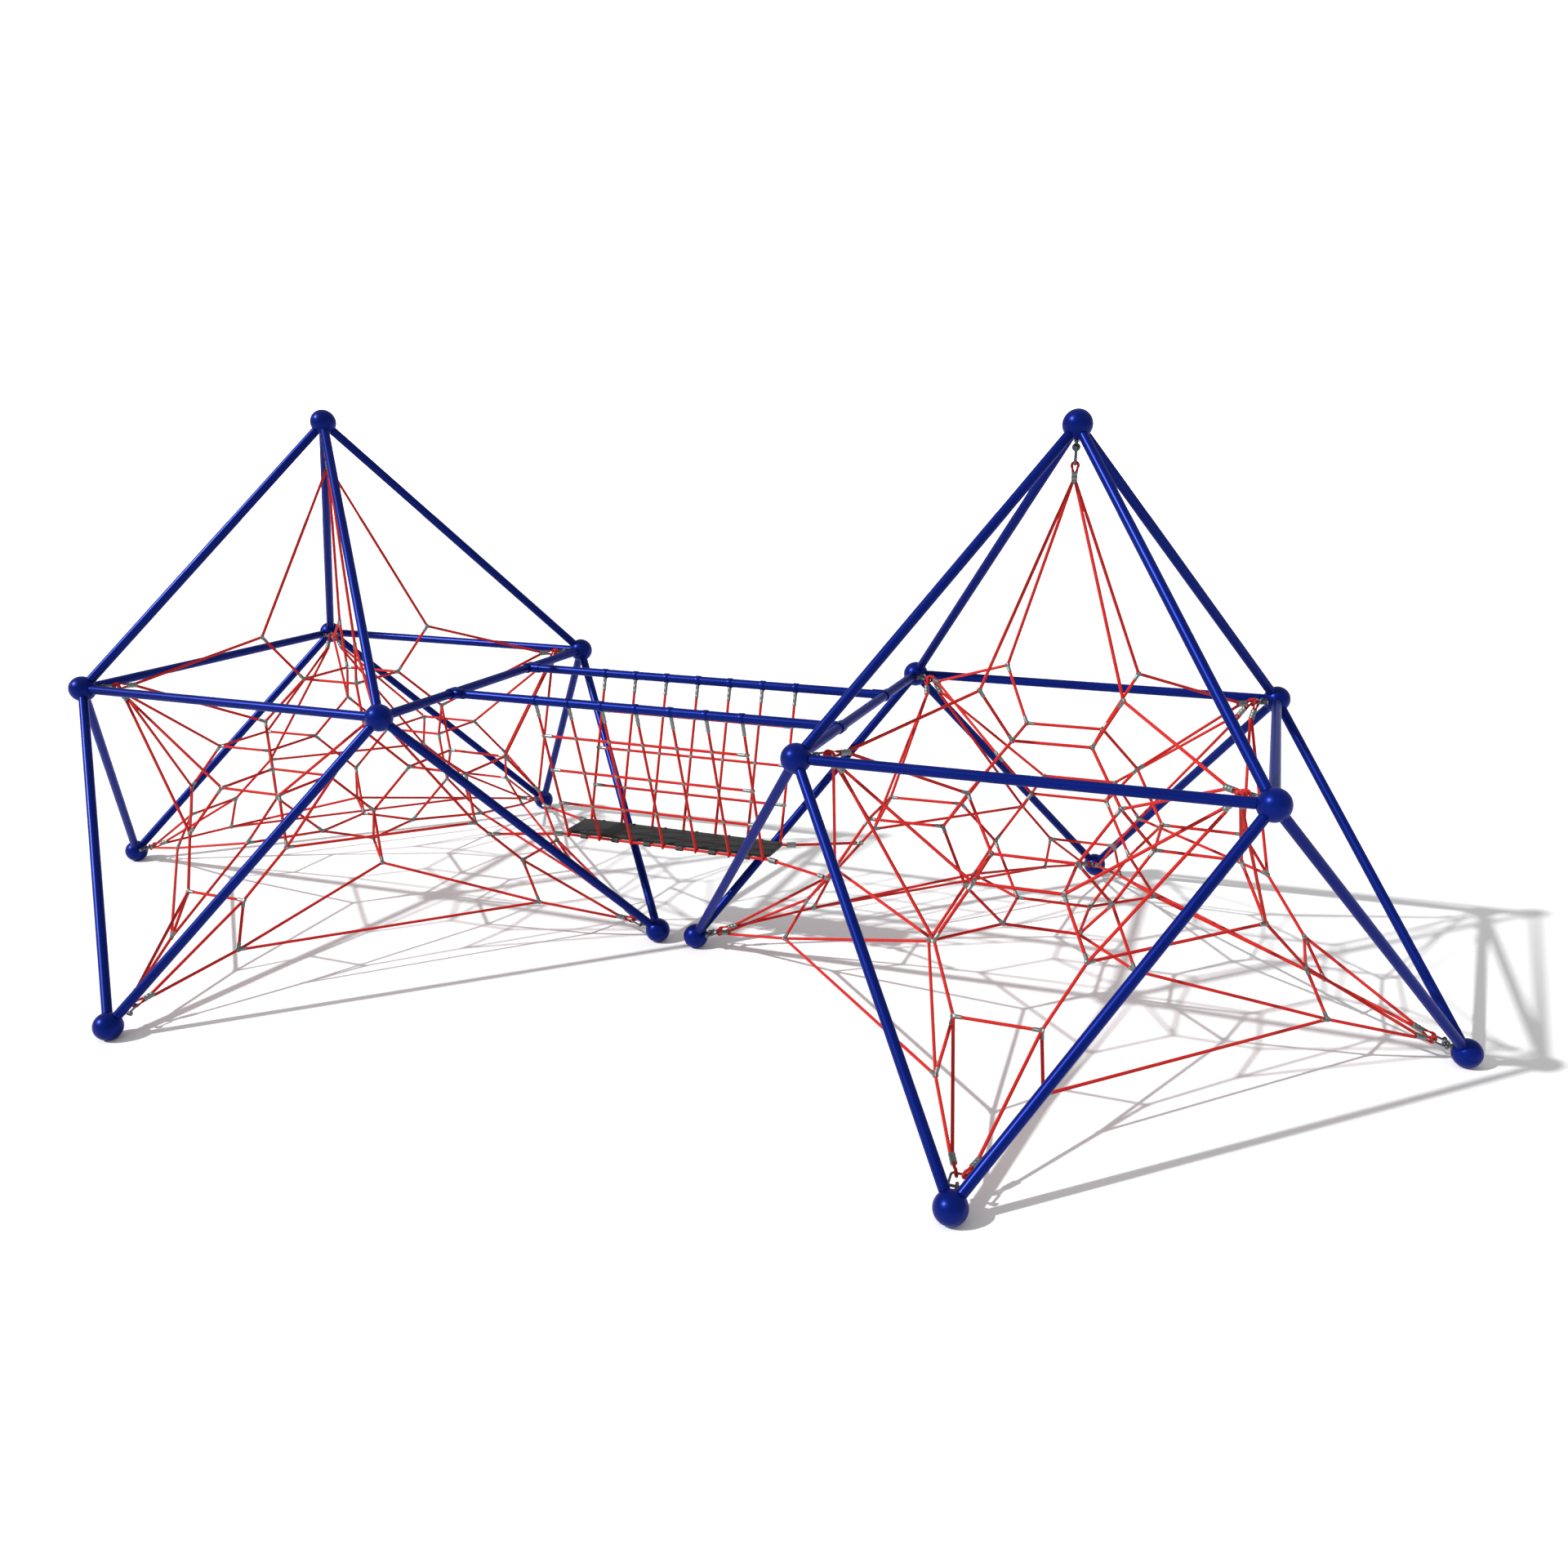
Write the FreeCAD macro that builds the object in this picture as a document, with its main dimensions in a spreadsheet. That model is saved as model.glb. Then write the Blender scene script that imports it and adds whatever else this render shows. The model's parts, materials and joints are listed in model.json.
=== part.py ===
import FreeCAD, Part
import math
import os
from FreeCAD import Placement, Rotation, Vector

# Rope climbing frame: two domes of tubes and ball connectors, each holding a taut rope net,
# joined by a hanging rope bridge. Millimetres, +X along the bridge, +Z up, the floor at z = 0.

doc = FreeCAD.newDocument("dome_climber")
sheet = doc.addObject("Spreadsheet::Sheet", "dims")

DRIVING = {
    # frame
    "tube_run": 2000,
    "dome_gap": 244,
    "hub_radius": 70,
    "foot_height": 66,
    "tube_radius": 24.15,
    "tube_bore": 20.95,
    "tube_end": 66.9,
    "stud_radius": 10,
    "stud_start": 32,
    "stud_length": 56,
    "plug_start": 70.2,
    "plug_length": 20,
    "anchor_radius": 10,
    "anchor_depth": 40,
    "bore_length": 60,
    # rope fittings, distances from the ball's centre towards the rope
    "shank_radius": 8,
    "shank_start": 36,
    "shank_length": 49,
    "collar_start": 70.2,
    "collar_radius": 14,
    "collar_height": 6,
    "eye_distance": 100,
    "eye_radius": 13.5,
    "eye_bar": 6,
    "pin_radius": 6,
    "pin_head": 11,
    "pin_head_height": 6,
    "bow_bar": 5,
    "bow_corner": 12,
    "bow_lug": 10,
    "loop_radius": 15,
    "loop_bar": 6.5,
    "loop_seat": 3.2,
    "neck_start": 19,
    "ferrule_length": 52,
    "ferrule_radius": 15,
    "ferrule_gap": 4,
    # net
    "rope_radius": 8,
    "clamp_radius": 17,
    "rope_clearance": 0.1,
    # bridge
    "rail_half_spread": 385,
    "rail_start": 32,
    "bracket_radius": 30,
    "bracket_length": 60,
    "bracket_sleeve_radius": 28,
    "bracket_sleeve_length": 75,
    "edge_half_spread": 128,
    "edge_height": 575,
    "edge_half_length": 640,
    "upright_pitch": 200,
    "cross_clamp_radius": 13,
    "cross_gap": 8.3,
    "turning_gap": 0.3,
    "open_gap": 1,
    "hanger_wall": 5,
    "hanger_width": 32,
    "hanger_radius": 11,
    "hanger_reach": 100,
    "hanger_seat": 2,
    "sleeve_wall": 6,
    "sleeve_length": 26,
    "sleeve_seat": 2,
    "deck_length": 1252,
    "deck_half_width": 111,
    "deck_thickness": 20,
    "deck_corner": 45,
    "deck_lift": 2,
    "clip_length": 40,
    "clip_radius": 14,
    "clip_reach": 40,
    "clip_plate": 10,
    "screw_radius": 4,
    "screw_head": 8,
    "screw_head_height": 4,
    "screw_inset": 26,
    "screw_bite": 8,
    "socket_length": 50,
    "socket_radius": 15,
    "socket_bore": 11,
    "socket_floor": 12,
    "end_rope_grip": 25,
    "end_rope_gap": 20,
}

# Net knots of one dome, from its own axis and the height of the ground balls' centres.
# A diagonal knot lies on the line to a corner ball: (out along x and y, up).
DIAGONAL_KNOTS = {
    "crown": (330, 1635),
    "collar": (190, 1370),
    "shoulder": (360, 1135),
    "belly": (355, 660),
    "floor": (190, 415),
    "skirt": (495, 400),
}
# Face knots come in mirrored pairs behind each face: (out towards the face, to the side, up).
FACE_KNOTS = {
    "waist": (515, 200, 900),
    "gallery": (905, 200, 895),
    "flank": (1040, 335, 655),
    "ankle": (1240, 190, 405),
    "toe": (1360, 230, 175),
}
APEX_TIE = 2564
CORNER_TIE = (806, 806, 1414)
SIDE_TIE = (881, 814, 1335)
GROUND_TIE = (1760, 59, 80)
END_KNOT_SHARE = 0.3


def fill_sheet():
    for row, (alias, value) in enumerate(DRIVING.items(), start=1):
        sheet.set("A%d" % row, alias)
        sheet.set("B%d" % row, str(value))
        sheet.setAlias("B%d" % row, alias)
    doc.recompute()


fill_sheet()


def dim(alias):
    return float(sheet.get(alias))


UP = Vector(0, 0, 1)
HALF = dim("tube_run") / 2
RING_UP = HALF * math.sqrt(2)
APEX = Vector(0, 0, 2 * RING_UP)
DOME_X = 2 * HALF + dim("dome_gap") / 2
DOMES = {"west": -DOME_X, "east": DOME_X}
CORNERS = {"front_left": (-1, -1), "front_right": (1, -1), "back_right": (1, 1), "back_left": (-1, 1)}
SIDES = {"front": (0, -1), "right": (1, 0), "back": (0, 1), "left": (-1, 0)}
RING_HEIGHT = RING_UP + dim("foot_height")
EDGE_HEIGHT = dim("edge_height") + dim("foot_height")
UPRIGHTS = [dim("upright_pitch") * step for step in range(-3, 4)]

parts = []


def unit(vector):
    return vector * (1 / vector.Length)


def corner_point(sx, sy):
    return Vector(sx * HALF, sy * HALF, RING_UP)


def ground_point(sx, sy):
    return Vector(sx * 2 * HALF, sy * 2 * HALF, 0)


def dome_origin(dome):
    return Vector(DOMES[dome], 0, dim("foot_height"))


def facing(point, direction, across=None):
    """Placement at point with local Z along direction and local X near across."""
    if across is None:
        return Placement(point, Rotation(UP, direction))
    side = unit(across - direction * across.dot(direction))
    return Placement(point, Rotation(side, direction.cross(side), direction, "ZXY"))


# Sheet-bound building blocks

def bind(piece, sizes):
    for name, expression in sizes.items():
        if isinstance(expression, str):
            piece.setExpression(name, expression)
        else:
            setattr(piece, name, expression)
    return piece


def cylinder(name, radius, height, placement=Placement()):
    piece = bind(doc.addObject("Part::Cylinder", name), {"Radius": radius, "Height": height})
    piece.Placement = placement
    return piece


def sphere(name, radius, placement=Placement()):
    piece = bind(doc.addObject("Part::Sphere", name), {"Radius": radius})
    piece.Placement = placement
    return piece


def torus(name, radius, bar, placement=Placement(), sweep=360):
    piece = bind(doc.addObject("Part::Torus", name), {"Radius1": radius, "Radius2": bar})
    piece.Angle3 = sweep
    piece.Placement = placement
    return piece


def fused(name, pieces):
    whole = doc.addObject("Part::MultiFuse", name)
    whole.Shapes = pieces
    return whole


def compound(name, pieces):
    whole = doc.addObject("Part::Compound", name)
    whole.Links = pieces
    return whole


def cut(name, base, tool):
    whole = doc.addObject("Part::Cut", name)
    whole.Base = base
    whole.Tool = tool
    return whole


def keep(piece, label):
    piece.Label = label
    parts.append(piece)
    return piece


def copies(label, master, placements):
    """One node of identical pieces: the master's solid set down at each placement."""
    doc.recompute()
    group = doc.addObject("Part::Feature", label + "_group")
    group.Shape = Part.makeCompound([master.Shape.transformed(at.toMatrix()) for at in placements])
    return keep(group, label)


# Ball connectors

def bored_hub(label, centre, tube_ends, eye_direction, foot_bores=()):
    """Ball with a socket for each tube's stud and one for the rope fitting; a ball with a foot bore
    is cut flat where it stands on the floor."""
    ball = sphere(label + "_ball", "dims.hub_radius", Placement(centre, Rotation()))
    if foot_bores:
        ball.setExpression("Angle1", "-asin(dims.foot_height / dims.hub_radius)")
    bores = list(foot_bores)
    for index, end in enumerate(tube_ends):
        direction = unit(end - centre)
        start = centre + direction * dim("stud_start")
        place = facing(start, direction)
        bores.append(cylinder("%s_bore_%d" % (label, index), "dims.stud_radius", "dims.bore_length", place))
    place = facing(centre + eye_direction * dim("shank_start"), eye_direction)
    bores.append(cylinder(label + "_eye_bore", "dims.shank_radius", "dims.bore_length", place))
    tool = compound(label + "_bores", bores)
    return keep(cut(label + "_cut", ball, tool), label)


def anchor_bore(label, centre):
    foot = centre - UP * dim("foot_height")
    return cylinder(label + "_anchor", "dims.anchor_radius", "dims.anchor_depth", Placement(foot, Rotation()))


def eye_directions():
    """Where each ball's rope fitting points, and the direction of its pin."""
    directions = {"apex": (-UP, Vector(0, 1, 0))}
    for name, (sx, sy) in CORNERS.items():
        directions["corner_" + name] = (unit(Vector(-sx, -sy, 0)), unit(Vector(-sy, sx, 0)))
    for name, (sx, sy) in SIDES.items():
        tie = Vector(*GROUND_TIE)
        inward = tie.x - 2 * HALF
        directions["ground_" + name] = (unit(Vector(sx * inward, sy * inward, tie.z)), Vector(-sy, sx, 0))
    return directions


EYES = eye_directions()


def make_hubs(dome):
    origin = dome_origin(dome)
    corners = {name: corner_point(*signs) for name, signs in CORNERS.items()}
    bored_hub(dome + "_apex_hub", origin + APEX, [origin + point for point in corners.values()], -UP)
    for name, (sx, sy) in CORNERS.items():
        ends = [APEX, corner_point(-sx, sy), corner_point(sx, -sy), ground_point(sx, 0), ground_point(0, sy)]
        label = "%s_corner_hub_%s" % (dome, name)
        bored_hub(label, origin + corners[name], [origin + end for end in ends], EYES["corner_" + name][0])
    for name, (sx, sy) in SIDES.items():
        ends = [point for point in corners.values() if point.x * sx + point.y * sy > 0]
        label = "%s_ground_hub_%s" % (dome, name)
        centre = origin + ground_point(sx, sy)
        anchor = anchor_bore(label, centre)
        bored_hub(label, centre, [origin + end for end in ends], EYES["ground_" + name][0], [anchor])


# Tubes, end plugs and studs

def tube_master():
    outer = cylinder("tube_outer", "dims.tube_radius", "dims.tube_run - 2 * dims.tube_end")
    inner = cylinder("tube_inner", "dims.tube_bore", "dims.tube_run - 2 * dims.tube_end")
    return cut("tube_pipe", outer, inner)


def plug_master():
    disc = cylinder("plug_disc", "dims.tube_bore", "dims.plug_length")
    hole = cylinder("plug_hole", "dims.stud_radius", "dims.plug_length")
    return cut("plug_ring", disc, hole)


def dome_runs():
    """The sixteen tubes of a dome as pairs of ball centres, by family."""
    signs = list(CORNERS.values())
    roof = [(corner_point(*sign), APEX) for sign in signs]
    ring = [(corner_point(*signs[i - 1]), corner_point(*signs[i])) for i in range(4)]
    legs = []
    for sx, sy in signs:
        legs.append((ground_point(sx, 0), corner_point(sx, sy)))
        legs.append((ground_point(0, sy), corner_point(sx, sy)))
    return {"roof": roof, "ring": ring, "leg": legs}


def run_place(dome, start, end, distance):
    direction = unit(end - start)
    return facing(dome_origin(dome) + start + direction * distance, direction)


def make_tubes():
    pipe = tube_master()
    plug = plug_master()
    stud = cylinder("stud_rod", "dims.stud_radius", "dims.stud_length")
    ends = []
    for dome in DOMES:
        for family, runs in dome_runs().items():
            places = [run_place(dome, start, end, dim("tube_end")) for start, end in runs]
            copies("%s_%s_tubes" % (dome, family), pipe, places)
            ends += [(dome, start, end) for start, end in runs]
            ends += [(dome, end, start) for start, end in runs]
    copies("tube_plugs", plug, [run_place(*end, dim("plug_start")) for end in ends])
    copies("tube_studs", stud, [run_place(*end, dim("stud_start")) for end in ends])


# Rope fittings: eye bolt, shackle, pin, rope loops and ferrules

def eye_bolt_master():
    """Lies along local Z from the ball's centre, its eye open along local X."""
    shank = cylinder("eye_shank", "dims.shank_radius", "dims.shank_length")
    shank.setExpression("Placement.Base.z", "dims.shank_start")
    collar = cylinder("eye_collar", "dims.collar_radius", "dims.collar_height")
    collar.setExpression("Placement.Base.z", "dims.collar_start")
    sideways = Rotation(Vector(0, 1, 0), 90)
    ring = torus("eye_ring", "dims.eye_radius", "dims.eye_bar", Placement(Vector(), sideways))
    ring.setExpression("Placement.Base.z", "dims.eye_distance")
    return fused("eye_bolt", [shank, collar, ring])


def shackle_masters(name, half_width, crown):
    """U-shaped bow in the local XZ plane from the eye's pin to its crown, and the pin along local X."""
    eye = dim("eye_distance")
    corner = dim("bow_corner")
    sideways = Rotation(Vector(0, 1, 0), 90)
    pieces = []
    for side in (-1, 1):
        leg_x = side * half_width
        foot = Placement(Vector(leg_x, 0, eye), Rotation())
        pieces.append(cylinder("%s_leg_%d" % (name, side), "dims.bow_bar", crown - corner - eye, foot))
        pieces.append(sphere("%s_lug_%d" % (name, side), "dims.bow_lug", foot))
        bend = Rotation(Vector(1, 0, 0), 90)
        if side < 0:
            bend = Rotation(UP, 180).multiply(bend)
        pieces.append(torus("%s_bend_%d" % (name, side), "dims.bow_corner", "dims.bow_bar",
                            Placement(Vector(side * (half_width - corner), 0, crown - corner), bend), 90))
    bar_length = 2 * (half_width - corner)
    pieces.append(cylinder(name + "_crown", "dims.bow_bar", bar_length,
                           Placement(Vector(-bar_length / 2, 0, crown), sideways)))
    solid = fused(name + "_solid", pieces)
    hole = cylinder(name + "_hole", "dims.pin_radius", 4 * half_width,
                    Placement(Vector(-2 * half_width, 0, eye), sideways))
    bow = cut(name + "_bow", solid, hole)
    reach = half_width + dim("bow_lug")
    rod = cylinder(name + "_rod", "dims.pin_radius", 2 * reach, Placement(Vector(-reach, 0, eye), sideways))
    head = cylinder(name + "_head", "dims.pin_head", "dims.pin_head_height",
                    Placement(Vector(reach, 0, eye), sideways))
    return bow, fused(name + "_pin", [rod, head])


# half width of the bow, crown distance, and where the rope loops sit along the crown
FITTINGS = {
    "apex": (17, 178, {"tie": 0}),
    "corner": (38, 162, {"tie": 0, "side_a": -21, "side_b": 21}),
    "ground": (36, 162, {"side_a": -18, "side_b": 18}),
}


def anchors():
    """Every rope fitting of a dome: kind, ball centre, direction, pin direction and ends of its ropes."""
    found = [("apex", APEX) + EYES["apex"] + ({"tie": Vector(0, 0, APEX_TIE)},)]
    for name, (sx, sy) in CORNERS.items():
        direction, across = EYES["corner_" + name]
        out, aside, up = SIDE_TIE
        ties = {
            "tie": Vector(sx * CORNER_TIE[0], sy * CORNER_TIE[1], CORNER_TIE[2]),
            "side_a": Vector(sx * out, sy * aside, up),
            "side_b": Vector(sx * aside, sy * out, up),
        }
        found.append(("corner", corner_point(sx, sy), direction, across, ordered(ties, across)))
    for name, (sx, sy) in SIDES.items():
        direction, across = EYES["ground_" + name]
        out, aside, up = GROUND_TIE
        ties = {side: Vector(sx * out, sy * out, up) + across * turn * aside
                for side, turn in (("side_a", -1), ("side_b", 1))}
        found.append(("ground", ground_point(sx, sy), direction, across, ties))
    return found


def ordered(ties, across):
    """Give side_a to the rope on the pin's low side, so the two side ropes never cross."""
    if ties["side_a"].dot(across) > ties["side_b"].dot(across):
        ties["side_a"], ties["side_b"] = ties["side_b"], ties["side_a"]
    return ties


def loop_places(kind, ball, direction, across, ties):
    """For each rope end: where its loop sits on the crown, its direction and its distance to the tie."""
    half_width, crown, seats = FITTINGS[kind]
    for name, seat in seats.items():
        saddle = ball + direction * crown + across * seat
        pull = unit(ties[name] - saddle)
        centre = saddle + pull * dim("loop_seat")
        yield centre, pull, (ties[name] - centre).Length


def make_fittings():
    bolt = eye_bolt_master()
    loop = torus("loop_ring", "dims.loop_radius", "dims.loop_bar")
    ferrule = cylinder("ferrule_body", "dims.ferrule_radius", "dims.ferrule_length")
    masters = {kind: shackle_masters(kind + "_shackle", data[0], data[1]) for kind, data in FITTINGS.items()}
    bolts = []
    loops = []
    ferrules = []
    necks = []
    bows = {kind: [] for kind in FITTINGS}
    for dome in DOMES:
        origin = dome_origin(dome)
        for kind, ball, direction, across, ties in anchors():
            place = facing(origin + ball, direction, across)
            bolts.append(place)
            bows[kind].append(place)
            for centre, pull, distance in loop_places(kind, ball, direction, across, ties):
                flat = unit(across - pull * across.dot(pull))
                loops.append(facing(origin + centre, flat))
                start = distance - dim("ferrule_gap") - dim("ferrule_length")
                ferrules.append(facing(origin + centre + pull * start, pull))
                neck_end = start - dim("rope_clearance")
                necks.append((origin + centre + pull * dim("neck_start"), origin + centre + pull * neck_end))
    copies("eye_bolts", bolt, bolts)
    mixed_copies("shackle_bows", [(masters[kind][0], bows[kind]) for kind in FITTINGS])
    mixed_copies("shackle_pins", [(masters[kind][1], bows[kind]) for kind in FITTINGS])
    copies("rope_loops", loop, loops)
    copies("rope_ferrules", ferrule, ferrules)
    rope_group("rope_necks", necks)


def mixed_copies(label, families):
    doc.recompute()
    solids = []
    for master, placements in families:
        solids += [master.Shape.transformed(at.toMatrix()) for at in placements]
    group = doc.addObject("Part::Feature", label + "_group")
    group.Shape = Part.makeCompound(solids)
    return keep(group, label)


def rope_group(label, runs):
    """One node of straight taut ropes, each a cylinder from its start point to its end point."""
    ropes = []
    for index, (start, end) in enumerate(runs):
        length = (end - start).Length
        place = facing(start, end - start)
        ropes.append(cylinder("%s_%d" % (label, index), "dims.rope_radius", length, place))
    return keep(compound(label + "_ropes", ropes), label)


# The dome nets

def net_knots():
    """All knots of a dome net by name, such as crown+1-1 or ankle_x-1+1."""
    knots = {"apex_tie": Vector(0, 0, APEX_TIE)}
    face_points = dict(FACE_KNOTS, side_tie=SIDE_TIE, ground_tie=GROUND_TIE)
    for sx, sy in CORNERS.values():
        sign = "%+d%+d" % (sx, sy)
        for name, (out, up) in DIAGONAL_KNOTS.items():
            knots[name + sign] = Vector(sx * out, sy * out, up)
        for name, (out, aside, up) in face_points.items():
            knots[name + "_x" + sign] = Vector(sx * out, sy * aside, up)
            knots[name + "_y" + sign] = Vector(sx * aside, sy * out, up)
        knots["corner_tie" + sign] = Vector(sx * CORNER_TIE[0], sy * CORNER_TIE[1], CORNER_TIE[2])
    return knots


# Ropes inside one quarter of the net; "*" is drawn once towards each of the two faces.
QUARTER_ROPES = {
    "upper": ["apex_tie crown", "crown corner_tie", "crown collar", "collar shoulder",
              "shoulder corner_tie"],
    "middle": ["shoulder waist*", "waist* gallery*", "gallery* side_tie*", "gallery* flank*",
               "flank* side_tie*", "flank* ankle*", "flank_x flank_y"],
    "lower": ["waist* belly", "belly skirt", "belly floor", "floor skirt", "ankle* toe*", "ankle* ground_tie*",
              "toe* ground_tie*", "toe* skirt", "toe_x toe_y"],
}
# Ropes that cross to the mirrored knot of the next quarter.
RING_ROPES = {
    "upper": ["collar"],
    "middle": ["waist*", "gallery*"],
    "lower": ["floor", "ankle*"],
}


def quarter_runs(level):
    for sx, sy in CORNERS.values():
        sign = "%+d%+d" % (sx, sy)
        for rope in QUARTER_ROPES[level]:
            for face in ("_x", "_y") if "*" in rope else ("",):
                first, second = [end.replace("*", face) for end in rope.split()]
                yield ("apex_tie" if first == "apex_tie" else first + sign), second + sign


def ring_runs(level):
    for name in RING_ROPES[level]:
        for sign in ("-1", "+1"):
            across_x = name.replace("*", "_y")
            across_y = name.replace("*", "_x")
            yield across_x + "-1" + sign, across_x + "+1" + sign
            yield across_y + sign + "-1", across_y + sign + "+1"


def pulls_by_knot(knots, runs):
    """Directions of all ropes that leave each knot."""
    pulls = {}
    for first, second in runs:
        pulls.setdefault(first, []).append(unit(knots[second] - knots[first]))
        pulls.setdefault(second, []).append(unit(knots[first] - knots[second]))
    return pulls


def rope_end(knots, pulls, name, other):
    """Where the rope from knot name to knot other starts, clear of the knot's other ropes."""
    radius = dim("rope_radius") + dim("rope_clearance")
    direction = unit(knots[other] - knots[name])
    if "tie" in name:
        middle = unit(sum(pulls[name], Vector()))
        aside = unit(direction - middle * direction.dot(middle))
        return knots[name] + aside * (radius / math.sin(math.pi / len(pulls[name])))
    tightest = min(one.getAngle(two) for one in pulls[name] for two in pulls[name] if one is not two)
    return knots[name] + direction * (radius / math.tan(tightest / 2))


def end_knot(knots, side, sy):
    """Where a bridge end rope ties to the dome net, part of the way down from flank to ankle."""
    flank = knots["flank_x%+d%+d" % (side, sy)]
    ankle = knots["ankle_x%+d%+d" % (side, sy)]
    return flank + (ankle - flank) * END_KNOT_SHARE


def make_nets():
    knots = net_knots()
    levels = {level: list(quarter_runs(level)) + list(ring_runs(level)) for level in QUARTER_ROPES}
    pulls = pulls_by_knot(knots, [run for runs in levels.values() for run in runs])
    ties = [name for name in knots if "tie" in name]
    clamp = sphere("clamp_ball", "dims.clamp_radius")
    for dome in DOMES:
        origin = dome_origin(dome)
        for level, runs in levels.items():
            spans = []
            for first, second in runs:
                start = rope_end(knots, pulls, first, second)
                end = rope_end(knots, pulls, second, first)
                spans.append((origin + start, origin + end))
            rope_group("%s_net_%s" % (dome, level), spans)
        places = [origin + knots[name] for name in knots if name not in ties]
        side = 1 if dome == "west" else -1
        places += [origin + end_knot(knots, side, sy) for sy in (-1, 1)]
        copies(dome + "_net_clamps", clamp, [Placement(place, Rotation()) for place in places])


# The bridge

def front_and_back():
    return {"front": -1, "back": 1}


def edge_point(x, sy):
    return Vector(x, sy * dim("edge_half_spread"), EDGE_HEIGHT)


def rail_point(x, sy):
    return Vector(x, sy * dim("rail_half_spread"), RING_HEIGHT)


def make_rails():
    reach = DOME_X - HALF
    length = 2 * (reach - dim("rail_start"))
    for name, sy in front_and_back().items():
        start = rail_point(-length / 2, sy)
        along = Vector(1, 0, 0)
        outer = cylinder(name + "_rail_outer", "dims.tube_radius", length, facing(start, along))
        inner = cylinder(name + "_rail_inner", "dims.tube_bore", length, facing(start, along))
        keep(cut(name + "_rail_pipe", outer, inner), name + "_rail")
    brackets = []
    for end in (-1, 1):
        for sy in (-1, 1):
            brackets.append(facing(rail_point(end * reach, sy), Vector(-end, 0, 0), Vector(0, 1, 0)))
    copies("rail_brackets", bracket_master(), brackets)


def bracket_master():
    """Band round the ring tube along local X, with a sleeve for the rail along local Z."""
    sideways = Rotation(Vector(0, 1, 0), 90)
    half = dim("bracket_length") / 2
    band = cylinder("bracket_band", "dims.bracket_radius", "dims.bracket_length",
                    Placement(Vector(-half, 0, 0), sideways))
    sleeve = cylinder("bracket_sleeve", "dims.bracket_sleeve_radius", "dims.bracket_sleeve_length")
    body = fused("bracket_body", [band, sleeve])
    ring_hole = cylinder("bracket_ring_hole", "dims.tube_radius", "dims.bracket_length",
                         Placement(Vector(-half, 0, 0), sideways))
    rail_hole = cylinder("bracket_rail_hole", "dims.tube_radius", "dims.bracket_sleeve_length")
    rail_hole.setExpression("Placement.Base.z", "dims.rail_start")
    return cut("bracket", body, compound("bracket_holes", [ring_hole, rail_hole]))


def hanger_master():
    """Band that turns on the rail along local X, with the rope's ferrule hanging along local Z."""
    sideways = Rotation(Vector(0, 1, 0), 90)
    half = dim("hanger_width") / 2
    band = cylinder("hanger_band", "dims.tube_radius + dims.turning_gap + dims.hanger_wall",
                    "dims.hanger_width", Placement(Vector(-half, 0, 0), sideways))
    stem = cylinder("hanger_stem", "dims.hanger_radius",
                    "dims.hanger_reach - dims.tube_radius - dims.hanger_seat")
    stem.setExpression("Placement.Base.z", "dims.tube_radius + dims.hanger_seat")
    body = fused("hanger_body", [band, stem])
    hole = cylinder("hanger_hole", "dims.tube_radius + dims.turning_gap", "dims.hanger_width",
                    Placement(Vector(-half, 0, 0), sideways))
    return cut("hanger", body, hole)


def sleeve_master(name, gap):
    """Short tube that turns on the deck's edge rope along local Z."""
    half = dim("sleeve_length") / 2
    low = Placement(Vector(0, 0, -half), Rotation())
    outer = cylinder(name + "_outer", "dims.rope_radius + dims.%s + dims.sleeve_wall" % gap,
                     "dims.sleeve_length", low)
    inner = cylinder(name + "_inner", "dims.rope_radius + dims.%s" % gap, "dims.sleeve_length", low)
    return cut(name, outer, inner)


def side_net_runs(sy):
    """Uprights from hanger to sleeve, and three cross ropes in pieces between the uprights."""
    drop = edge_point(0, sy) - rail_point(0, sy)
    down = unit(drop)
    seat = dim("rope_radius") + dim("open_gap") + dim("sleeve_seat")
    runs = []
    for x in UPRIGHTS:
        runs.append((rail_point(x, sy) + down * dim("hanger_reach"), edge_point(x, sy) - down * seat))
    gap = Vector(dim("cross_gap"), 0, 0)
    crossings = []
    for row in (1, 2, 3):
        level = drop * (row / 4)
        for left, right in zip(UPRIGHTS, UPRIGHTS[1:]):
            runs.append((rail_point(left, sy) + level + gap, rail_point(right, sy) + level - gap))
        crossings += [rail_point(x, sy) + level for x in UPRIGHTS]
    return runs, crossings


def make_side_nets():
    hanger = hanger_master()
    clamp = sphere("cross_clamp_ball", "dims.cross_clamp_radius")
    for (name, sy), gap in zip(front_and_back().items(), ("turning_gap", "open_gap")):
        down = unit(edge_point(0, sy) - rail_point(0, sy))
        along = Vector(1, 0, 0)
        copies(name + "_hangers", hanger, [facing(rail_point(x, sy), down, along) for x in UPRIGHTS])
        runs, crossings = side_net_runs(sy)
        rope_group(name + "_side_net", runs)
        copies(name + "_cross_clamps", clamp, [Placement(point, Rotation()) for point in crossings])
        sleeve = sleeve_master(name + "_sleeve", gap)
        copies(name + "_sleeves", sleeve, [facing(edge_point(x, sy), along) for x in UPRIGHTS])


def draw_deck(sketch):
    """Long rubber plate whose four corners are cut back at a slant."""
    half_x, half_y, cut_back = dim("deck_length") / 2, dim("deck_half_width"), dim("deck_corner")
    outline = []
    for sx, sy in ((-1, -1), (1, -1), (1, 1), (-1, 1)):
        side = Vector(sx * (half_x - cut_back), sy * half_y, 0)
        end = Vector(sx * half_x, sy * (half_y - cut_back / 2), 0)
        outline += [side, end] if sx * sy < 0 else [end, side]
    for start, end in zip(outline, outline[1:] + outline[:1]):
        sketch.addGeometry(Part.LineSegment(start, end))


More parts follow.
